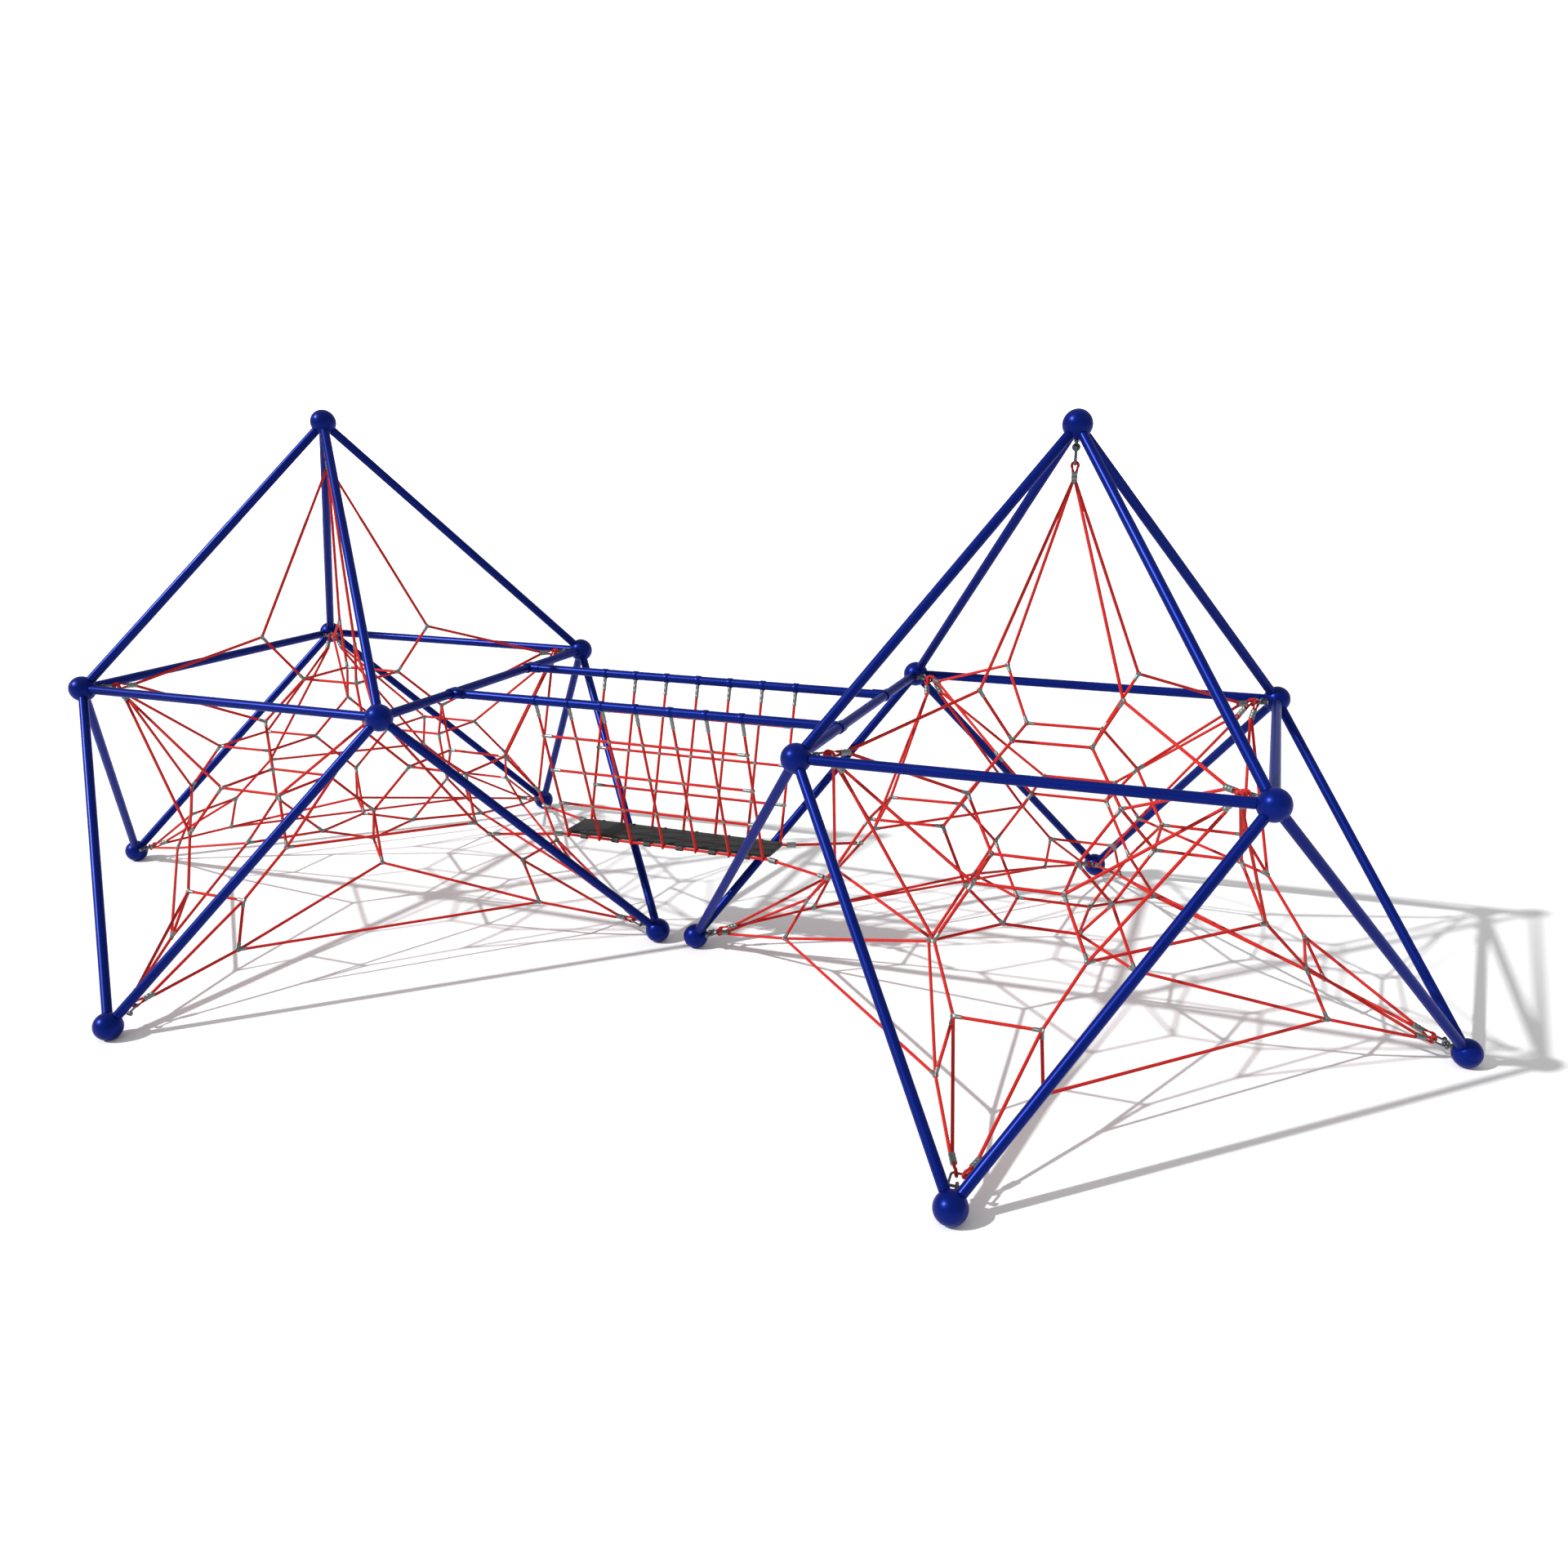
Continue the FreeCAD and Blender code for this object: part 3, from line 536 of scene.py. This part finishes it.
def sleeveMaster(radius, length):
    deselectAll()
    bpy.ops.mesh.primitive_cylinder_add(vertices=10, radius=radius, depth=length, location=(0, 0, length / 2))
    sleeve = bpy.context.object
    bpy.ops.object.transform_apply(location=True, rotation=True, scale=True)
    return bevelled(sleeve, clampBuild["sleeveEdge"])


def knotNormal(directions):  # the direction that the ropes of a knot lie most nearly across
    _, _, rows = np.linalg.svd(np.array([list(direction) for direction in directions]))
    return rows[-1]


def branchRopes(directions):  # all ropes at a knot but the straightest pair, which runs through it
    pairs = [(one.dot(two), i, j) for i, one in enumerate(directions)
             for j, two in enumerate(directions) if i < j]
    _, first, second = min(pairs)
    return [direction for i, direction in enumerate(directions) if i not in (first, second)]


def endKnot(side, sy):  # where an end rope meets a dome's net; side is the way from the dome to the bridge
    flank = knots["flankX%+d%+d" % (side, sy)]
    ankle = knots["ankleX%+d%+d" % (side, sy)]
    return flank + (ankle - flank) * clampBuild["endKnotShare"], (ankle - flank).normalized()


for dome in domes:
    toBridge = 1 if dome == "west" else -1
    pucks, sleeves = [], []
    for name, directions in pulls.items():
        if "Tie" in name:
            continue
        centre = domeAt(dome, knots[name])
        pucks.append(alignTo(centre, knotNormal(directions)))
        for direction in branchRopes(directions):
            sleeves.append(alignTo(centre + direction * clampBuild["sleeveStart"], direction))
    for sy in (-1, 1):
        centre, through = endKnot(toBridge, sy)
        outward = Vector((0, -sy, clampBuild["endKnotTilt"]))
        pucks.append(alignTo(domeAt(dome, centre), through.cross(outward).cross(through)))
    puckPiece = smooth(copied(dome + "KnotClamps", puckMaster(), pucks))
    settle(puckPiece, "frame", "clamp_aluminium", dome + "_net_clamps")
    knotSleeve = sleeveMaster(clampBuild["sleeveRadius"], clampBuild["sleeveLength"])
    settle(smooth(copied(dome + "KnotSleeves", knotSleeve, sleeves)), "frame", "clamp_aluminium")
print("knots clamped")


# rope eyes: each rope end loops over its shackle's crown and goes back into a pressed ferrule
eyeBuild = {"loopRadius": 0.0148, "ropeRadius": 0.0072, "seat": 0.0032, "ferruleLength": 0.052,
            "ferruleRadius": 0.0148, "ferruleEdge": 0.0025, "ferruleGap": 0.004, "legSpread": 0.0058,
            "bulge": 0.003, "bulgeShare": 0.72, "arcSteps": 22, "waists": (0.32, 0.68), "waistSize": 0.88,
            "cuts": (0.22, 0.32, 0.42, 0.58, 0.68, 0.78)}
# how far each kind of shackle's crown is from its ball's centre, and where ropes sit along its pin
fittings = {
    "apex": (0.178, {"tie": 0}),
    "corner": (0.162, {"tie": 0, "sideA": -0.021, "sideB": 0.021}),
    "ground": (0.162, {"sideA": -0.018, "sideB": 0.018}),
}


def anchors():  # kind, ball centre, direction of the fitting, direction of its pin and its ropes' ties
    found = [("apex", Vector((0, 0, 2 * ringUp)), Vector((0, 0, -1)), Vector((0, 1, 0)),
              {"tie": knots["apexTie"]})]
    for sx, sy in corners:
        sign = "%+d%+d" % (sx, sy)
        across = Vector((-sy, sx, 0)).normalized()
        sideTies = [knots["sideTieX" + sign], knots["sideTieY" + sign]]
        sideTies.sort(key=lambda tie: tie.dot(across))
        found.append(("corner", Vector((sx * half, sy * half, ringUp)), Vector((-sx, -sy, 0)).normalized(),
                      across, {"tie": knots["cornerTie" + sign], "sideA": sideTies[0], "sideB": sideTies[1]}))
    out, aside, up = tiePlaces["ground"]
    inward = out - 2 * half
    for sx, sy in sides:
        across = Vector((-sy, sx, 0))
        middle = Vector((sx * out, sy * out, up))
        found.append(("ground", Vector((sx * 2 * half, sy * 2 * half, 0)),
                      Vector((sx * inward, sy * inward, up)).normalized(), across,
                      {"sideA": middle - across * aside, "sideB": middle + across * aside}))
    return found


def loopPath(centre, pull, flat, reach):  # ferrule, up one side, round the loop and back down the other side
    side = pull.cross(flat).normalized()
    radius = eyeBuild["loopRadius"]
    lean = math.acos(radius / reach)
    legs = side * eyeBuild["legSpread"]
    bulge = side * (eyeBuild["legSpread"] + eyeBuild["bulge"])
    bulgeAt = centre + pull * (reach * eyeBuild["bulgeShare"])
    path = [centre + pull * reach + legs, bulgeAt + bulge]
    for step in range(eyeBuild["arcSteps"] + 1):
        angle = lean + (2 * math.pi - 2 * lean) * step / eyeBuild["arcSteps"]
        path.append(centre + pull * (radius * math.cos(angle)) + side * (radius * math.sin(angle)))
    return path + [bulgeAt - bulge, centre + pull * reach - legs]


def ferruleMaster():  # pressed ferrule with two crimped waists
    deselectAll()
    length = eyeBuild["ferruleLength"]
    bpy.ops.mesh.primitive_cylinder_add(vertices=20, radius=eyeBuild["ferruleRadius"], depth=length,
                                        location=(0, 0, length / 2))
    ferrule = bpy.context.object
    bpy.ops.object.transform_apply(location=True, rotation=True, scale=True)
    bpy.ops.object.mode_set(mode="EDIT")
    cutAcross([length * share for share in eyeBuild["cuts"]])
    squeeze = (eyeBuild["waistSize"], eyeBuild["waistSize"], 1)
    for waist in eyeBuild["waists"]:
        bpy.ops.object.mode_set(mode="OBJECT")
        selectPoints(ferrule, lambda place: abs(place.z / length - waist) < 0.03)
        bpy.ops.transform.resize(value=squeeze, center_override=(0, 0, length * waist))
    bpy.ops.object.mode_set(mode="OBJECT")
    return bevelled(ferrule, eyeBuild["ferruleEdge"], 2, 50)


loopPaths, ferrulePlaces = [], []
for dome in domes:
    for kind, ball, direction, across, ties in anchors():
        crown, seats = fittings[kind]
        for name, seat in seats.items():
            saddle = ball + direction * crown + across * seat
            pull = (ties[name] - saddle).normalized()
            centre = saddle + pull * eyeBuild["seat"]
            start = (ties[name] - centre).length - eyeBuild["ferruleGap"] - eyeBuild["ferruleLength"]
            flat = (across - pull * across.dot(pull)).normalized()
            path = loopPath(centre, pull, flat, start + tieBite)
            loopPaths.append([domeAt(dome, point) for point in path])
            ferrulePlaces.append(alignTo(domeAt(dome, centre + pull * start), pull))
ropeEyes = ropeObject("ropeEyes", loopPaths, eyeBuild["ropeRadius"])
settle(ropeEyes, "frame", "red_rope", "rope_loops", "rope_necks")
ferrules = smooth(copied("eyeFerrules", ferruleMaster(), ferrulePlaces))
settle(ferrules, "frame", "clamp_aluminium", "rope_ferrules")
print("rope eyes made")


# bridge: side nets, deck board, edge ropes and end ropes
bridgeBuild = {"crossRopes": 3, "crossRadius": 0.0115, "crossDepth": 0.0185, "crossEdge": 0.003,
               "endSleeveLength": 0.046, "endSleeveRadius": 0.0098, "endSleeveInset": 0.009,
               "boardBevel": 0.003, "boardCorner": 0.045}
hangerBuild = {"bandRadius": 0.0276, "bandWidth": 0.026, "bandWall": 0.0031, "bandEdge": 0.0008,
               "stemRadius": 0.0105, "stemSink": 0.002, "stemEdge": 0.0015, "crimps": (0.35, 0.75),
               "crimpHalf": 0.005, "crimpShoulder": 0.008, "crimpSize": (0.92, 0.86, 1), "ropeGrip": 0.01,
               "eyeRadius": 0.0135, "eyeRope": 0.0048, "eyeLean": 0.004, "eyeGap": 0.012}


def railPoint(x, sy):
    return Vector((x, sy * layout["railHalfSpread"], ringUp + foot))


def edgePoint(x, sy):
    return Vector((x, sy * layout["edgeHalfSpread"], layout["edgeHeight"]))


def crossMaster():
    deselectAll()
    bpy.ops.mesh.primitive_cylinder_add(vertices=10, radius=bridgeBuild["crossRadius"],
                                        depth=bridgeBuild["crossDepth"])
    return bevelled(bpy.context.object, bridgeBuild["crossEdge"])


def hangerBand():  # thin band round the rail
    deselectAll()
    bpy.ops.mesh.primitive_cylinder_add(vertices=40, radius=hangerBuild["bandRadius"],
                                        depth=hangerBuild["bandWidth"], rotation=(0, math.pi / 2, 0),
                                        end_fill_type="NOTHING")
    band = bpy.context.object
    bpy.ops.object.transform_apply(location=True, rotation=True, scale=True)
    wall = band.modifiers.new("wall", "SOLIDIFY")
    wall.thickness = hangerBuild["bandWall"]
    wall.offset = -1
    applyModifiers(band)
    return bevelled(band, hangerBuild["bandEdge"], 2)


def hangerStem():  # pressed ferrule that hangs from the band and holds the upright's end
    deselectAll()
    low, high = hangerBuild["bandRadius"] - hangerBuild["stemSink"], layout["hangerReach"]
    waist, shoulder = hangerBuild["crimpHalf"], hangerBuild["crimpShoulder"]
    bpy.ops.mesh.primitive_cylinder_add(vertices=16, radius=hangerBuild["stemRadius"], depth=high - low,
                                        location=(0, 0, (low + high) / 2))
    stem = bpy.context.object
    bpy.ops.object.transform_apply(location=True, rotation=True, scale=True)
    for share in hangerBuild["crimps"]:
        middle = low + (high - low) * share
        bpy.ops.object.mode_set(mode="EDIT")
        cutAcross((middle - shoulder, middle - waist, middle + waist, middle + shoulder))
        bpy.ops.object.mode_set(mode="OBJECT")
        selectPoints(stem, lambda place: abs(place.z - middle) < (waist + shoulder) / 2)
        bpy.ops.transform.resize(value=hangerBuild["crimpSize"], center_override=(0, 0, middle))
        bpy.ops.object.mode_set(mode="OBJECT")
    return bevelled(stem, hangerBuild["stemEdge"], 2, 60)


def eyePath(centre, radius, steps=26):  # one turn of rope round the deck's edge rope, its ends side by side
    path = []
    for step in range(steps + 1):
        angle = 2 * math.pi * step / steps
        lean = hangerBuild["eyeLean"] * math.cos(angle / 2)
        path.append(centre + Vector((lean, radius * math.cos(angle), radius * math.sin(angle))))
    return path


for name, sy in (("front", -1), ("back", 1)):
    drop = edgePoint(0, sy) - railPoint(0, sy)
    down = drop.normalized()
    outward = down.cross(Vector((1, 0, 0)))
    top = down * (layout["hangerReach"] - hangerBuild["ropeGrip"])
    paths = [(railPoint(x, sy) + top, edgePoint(x, sy) - down * hangerBuild["eyeGap"]) for x in uprights]
    crossings, ends = [], []
    inset = Vector((bridgeBuild["endSleeveInset"], 0, 0))
    for row in range(1, bridgeBuild["crossRopes"] + 1):
        level = drop * (row / (bridgeBuild["crossRopes"] + 1))
        left, right = railPoint(uprights[0], sy) + level, railPoint(uprights[-1], sy) + level
        paths.append((left, right))
        crossings += [alignTo(railPoint(x, sy) + level, outward) for x in uprights]
        ends += [alignTo(left + inset, (1, 0, 0)), alignTo(right - inset, (-1, 0, 0))]
    body = name + "_net"
    places = [alignTo(railPoint(x, sy), down, (1, 0, 0)) for x in uprights]
    stems = smooth(copied(name + "HangerStems", hangerStem(), places))
    settle(stems, body, "clamp_aluminium", name + "_hangers")
    settle(smooth(copied(name + "HangerBands", hangerBand(), places)), body, "blue_tube")
    eyes = [eyePath(edgePoint(x, sy), hangerBuild["eyeRadius"]) for x in uprights]
    deckEyes = ropeObject(name + "DeckEyes", eyes, hangerBuild["eyeRope"])
    settle(deckEyes, body, "red_rope", name + "_sleeves")
    settle(ropeObject(name + "SideNet", paths), body, "red_rope", name + "_side_net")
    crossClamps = smooth(copied(name + "CrossClamps", crossMaster(), crossings))
    settle(crossClamps, body, "clamp_aluminium", name + "_cross_clamps")
    netSleeve = sleeveMaster(bridgeBuild["endSleeveRadius"], bridgeBuild["endSleeveLength"])
    settle(smooth(copied(name + "NetEndSleeves", netSleeve, ends)), body, "clamp_aluminium")


def deckBoard():  # corners are rounded on a board of double depth, so they end up longer than they are deep
    low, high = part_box("deck_board")
    size = high - low
    deselectAll()
    bpy.ops.mesh.primitive_plane_add(size=1, location=(low + high) / 2)
    board = bpy.context.object
    board.scale = (size.x, size.y * 2, 1)
    bpy.ops.object.transform_apply(location=False, rotation=False, scale=True)
    bpy.ops.object.mode_set(mode="EDIT")
    bpy.ops.mesh.select_all(action="SELECT")
    bpy.ops.mesh.bevel(offset=bridgeBuild["boardCorner"], affect="VERTICES", segments=3)
    bpy.ops.object.mode_set(mode="OBJECT")
    board.scale = (1, 0.5, 1)
    bpy.ops.object.transform_apply(location=True, rotation=False, scale=True)
    thick = board.modifiers.new("ply", "SOLIDIFY")
    thick.thickness = size.z
    thick.offset = 0
    applyModifiers(board)
    bevelled(board, bridgeBuild["boardBevel"], 3, 50)
    board.name = "deckBoard"
    return smooth(board, 30)


settle(deckBoard(), "deck", "deck_rubber", "deck_board")
reach = layout["edgeHalfLength"]
edgePaths = [(edgePoint(-reach, sy), edgePoint(reach, sy)) for sy in (-1, 1)]
settle(ropeObject("deckEdgeRopes", edgePaths), "deck", "red_rope", "deck_edge_ropes")

endBuild = {"socketLength": 0.05, "grip": 0.025, "knotGap": 0.02, "sleeveLength": 0.04,
            "sleeveRadius": 0.0112}
for side, dome in ((-1, "west"), (1, "east")):
    for sy, face in ((-1, "front"), (1, "back")):
        corner = edgePoint(side * layout["edgeHalfLength"], sy)
        knot = domeAt(dome, endKnot(-side, sy)[0])
        pull = (knot - corner).normalized()
        start = corner + pull * (endBuild["socketLength"] - endBuild["grip"])
        end = knot - pull * endBuild["knotGap"]
        body = "%s_%s_rope" % (face, dome)
        label = face + dome.capitalize()
        endRope = ropeObject(label + "EndRope", [(start, end)])
        settle(endRope, body, "red_rope", "%s_%s_end_rope" % (face, dome))
        sleevePlace = alignTo(end - pull * endBuild["sleeveLength"], pull)
        endSleeve = sleeveMaster(endBuild["sleeveRadius"], endBuild["sleeveLength"])
        settle(smooth(copied(label + "EndSleeve", endSleeve, [sleevePlace])), body, "clamp_aluminium")
print("bridge made")


# stage: pale floor, glowing wall, a sun from the front left, a white sky, and the camera
stageBuild = {
    "floorRadius": 34,
    "rimPoints": 96,
    "wallBend": 9,
    "bendSteps": 12,
    "wallHeight": 60,
    "sunTravel": (0.587, 0.494, -0.641),
    "sunStrength": 3.6,
    "sunAngle": 1.3,
    "skyStrength": 0.53,
    "wallGlow": 1.1,
}


def studioFloor():
    deselectAll()
    bpy.ops.mesh.primitive_circle_add(vertices=stageBuild["rimPoints"], radius=stageBuild["floorRadius"],
                                      fill_type="NGON")
    bpy.context.object.name = "floor"
    return bpy.context.object


def studioWall():  # glowing wall that sweeps up round the floor, so no horizon shows
    bend, radius = stageBuild["wallBend"], stageBuild["floorRadius"]
    deselectAll()
    bpy.ops.mesh.primitive_circle_add(vertices=stageBuild["rimPoints"], radius=radius)
    wall = bpy.context.object
    bpy.ops.object.mode_set(mode="EDIT")
    bpy.ops.mesh.select_all(action="SELECT")
    out, up = radius, 0
    for step in range(1, stageBuild["bendSteps"] + 1):
        angle = math.pi / 2 * step / stageBuild["bendSteps"]
        nextOut, nextUp = radius + bend * math.sin(angle), bend * (1 - math.cos(angle))
        bpy.ops.mesh.extrude_edges_move(TRANSFORM_OT_translate={"value": (0, 0, nextUp - up)})
        bpy.ops.transform.resize(value=(nextOut / out, nextOut / out, 1), center_override=(0, 0, nextUp))
        out, up = nextOut, nextUp
    bpy.ops.mesh.extrude_edges_move(TRANSFORM_OT_translate={"value": (0, 0, stageBuild["wallHeight"] - up)})
    bpy.ops.object.mode_set(mode="OBJECT")
    wall.name = "backdrop"
    wall.visible_shadow = False    # seen behind the object, but neither lights nor shades it
    wall.visible_diffuse = False
    wall.visible_glossy = False
    return wall


floor = studioFloor()
backdrop = studioWall()
glow = Finish("backdropGlow", {"Base Color": (0.9, 0.9, 0.9, 1), "Roughness": 0.9, "Specular IOR Level": 0,
                               "Emission Color": (1, 1, 1, 1), "Emission Strength": stageBuild["wallGlow"]})
backdrop.data.materials.append(glow.mat)
ground = Finish("paleFloor", {"Specular IOR Level": 0.0, "Roughness": 0.9})
floorSpots = ground.noise(ground.coords(), 1.5, 2)
floorTone = ground.mix(floorSpots, (0.93, 0.93, 0.93, 1), (0.95, 0.95, 0.95, 1))
floor.data.materials.append(ground.feed(colour=floorTone))

sun = bpy.data.lights.new("sun", "SUN")
sun.energy = stageBuild["sunStrength"]
sun.angle = math.radians(stageBuild["sunAngle"])
sunObject = bpy.data.objects.new("sun", sun)
sunObject.rotation_euler = Vector(stageBuild["sunTravel"]).to_track_quat("-Z", "Y").to_euler()
bpy.context.scene.collection.objects.link(sunObject)

world = bpy.data.worlds.new("sky")
world.use_nodes = True
sky = world.node_tree.nodes["Background"]
sky.inputs["Color"].default_value = (1, 1, 1, 1)
sky.inputs["Strength"].default_value = stageBuild["skyStrength"]
bpy.context.scene.world = world
bpy.context.scene.view_settings.view_transform = "Standard"

cameraBuild = {"place": (2.996, -5.952, 2.937), "turn": (72.53, 0.0, 20.10), "lens": 28.37,
               "shiftX": -0.0159, "shiftY": 0.0124}
cameraData = bpy.data.cameras.new("camera")
cameraData.lens = cameraBuild["lens"]
cameraData.sensor_width = 36
cameraData.shift_x = cameraBuild["shiftX"]
cameraData.shift_y = cameraBuild["shiftY"]
camera = bpy.data.objects.new("camera", cameraData)
camera.location = cameraBuild["place"]
camera.rotation_euler = [math.radians(angle) for angle in cameraBuild["turn"]]
bpy.context.scene.collection.objects.link(camera)
bpy.context.scene.camera = camera
print("stage set")
